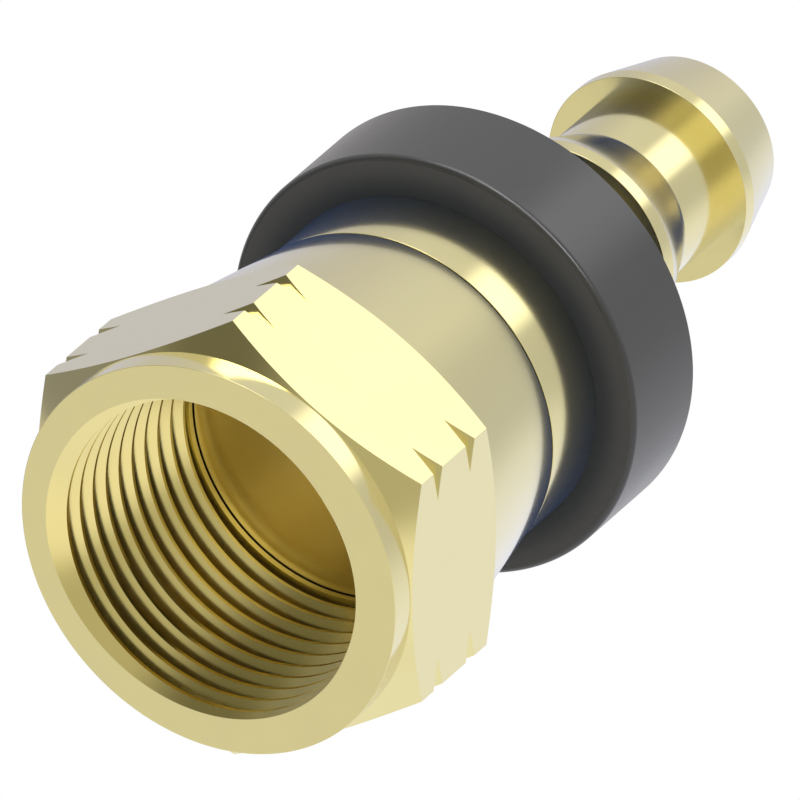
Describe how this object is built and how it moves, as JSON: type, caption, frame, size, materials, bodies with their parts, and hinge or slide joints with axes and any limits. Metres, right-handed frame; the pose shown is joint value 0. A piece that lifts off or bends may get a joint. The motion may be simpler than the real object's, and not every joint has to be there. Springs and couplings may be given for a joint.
{
  "type": "socketless hose fitting",
  "caption": "Straight push-on hose tail with two barbs, a swivel nut with an internal thread over a flat sealing head, and a cup ring for the hose end.",
  "frame": {"origin": "centre of the nut's front face, which is also the plane that the fitting stands on", "axes": "+Z along the common axis from the nut's mouth to the tip of the tail; a corner of the hexagon is on +X"},
  "size_m": [0.0416, 0.0388, 0.081],
  "materials": {
    "nut_metal": "satin turned",
    "tail_metal": "satin turned",
    "ring_plastic": "moulded, slight gloss"
  },
  "bodies": {
    "tail": {"hose_tail": "tail_metal", "stop_ring": "ring_plastic"},
    "nut": {"swivel_nut": "nut_metal"}
  },
  "joints": [
    {"name": "nut_swivel", "type": "hinge", "parent": "tail", "child": "nut", "pos_m": [0, 0, 0.0227], "axis": [0, 0, 1], "continuous": true}
  ]
}
